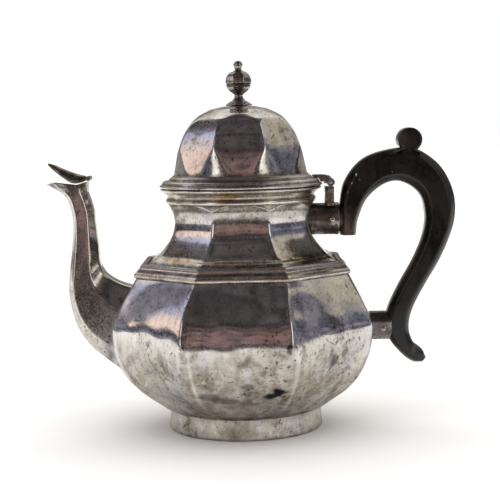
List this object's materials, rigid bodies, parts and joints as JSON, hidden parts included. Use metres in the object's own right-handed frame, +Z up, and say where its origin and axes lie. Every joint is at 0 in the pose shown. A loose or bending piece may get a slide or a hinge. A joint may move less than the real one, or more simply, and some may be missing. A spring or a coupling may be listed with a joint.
{
  "type": "teapot",
  "caption": "Silver teapot with a panelled pear body, hinged domed lid with a knop, faceted swan-neck spout with a hinged flap, and a scrolled dark wooden handle in silver sockets.",
  "frame": {"origin": "on the table under the middle of the teapot's bounding box", "axes": "+X from the spout towards the handle, +Y to the back when the spout points left, +Z up along the pot's upright axis"},
  "size_m": [0.1918, 0.1196, 0.1718],
  "materials": {
    "silver_body": "hand-polished silver sheet, worn and lightly tarnished",
    "silver_mouldings": "drawn and cast silver mouldings with warm patina in the hollows",
    "silver_fittings": "cast silver fittings, darker with tarnish",
    "silver_inside": "dull unpolished silver",
    "ebonised_wood": "ebonised hardwood, satin and worn"
  },
  "bodies": {
    "pot": {"foot_ring": "silver_mouldings", "base_disc": "silver_inside", "bowl": "silver_body", "spout_strainer": "silver_inside", "girdle_moulding": "silver_mouldings", "neck": "silver_body", "rim_moulding": "silver_mouldings", "spout": "silver_body", "flap_knuckle_front": "silver_fittings", "flap_knuckle_back": "silver_fittings", "flap_pin": "silver_fittings", "handle": "ebonised_wood", "upper_handle_socket": "silver_fittings", "lower_handle_socket": "silver_fittings", "upper_handle_pin": "silver_fittings", "lower_handle_pin": "silver_fittings", "lid_hinge_post": "silver_fittings", "lid_knuckle_front": "silver_fittings", "lid_knuckle_back": "silver_fittings", "lid_hinge_pin": "silver_fittings"},
    "lid": {"lid_flange": "silver_mouldings", "lid_bezel": "silver_inside", "lid_dome": "silver_body", "lid_hinge_arm": "silver_fittings", "lid_knuckle_middle": "silver_fittings", "finial_collar": "silver_fittings", "finial_knop": "silver_fittings", "finial_bead": "silver_fittings", "finial_screw": "silver_inside", "finial_nut": "silver_inside"},
    "flap": {"spout_flap": "silver_body", "flap_knuckle_middle": "silver_fittings"}
  },
  "joints": [
    {"name": "lid_hinge", "type": "hinge", "parent": "pot", "child": "lid", "pos_m": [0.0377, 0, 0.1146], "axis": [0, 1, 0], "range_deg": [0, 88]},
    {"name": "flap_hinge", "type": "hinge", "parent": "pot", "child": "flap", "pos_m": [-0.0755, 0, 0.1187], "axis": [0, 1, 0], "range_deg": [0, 75]}
  ]
}
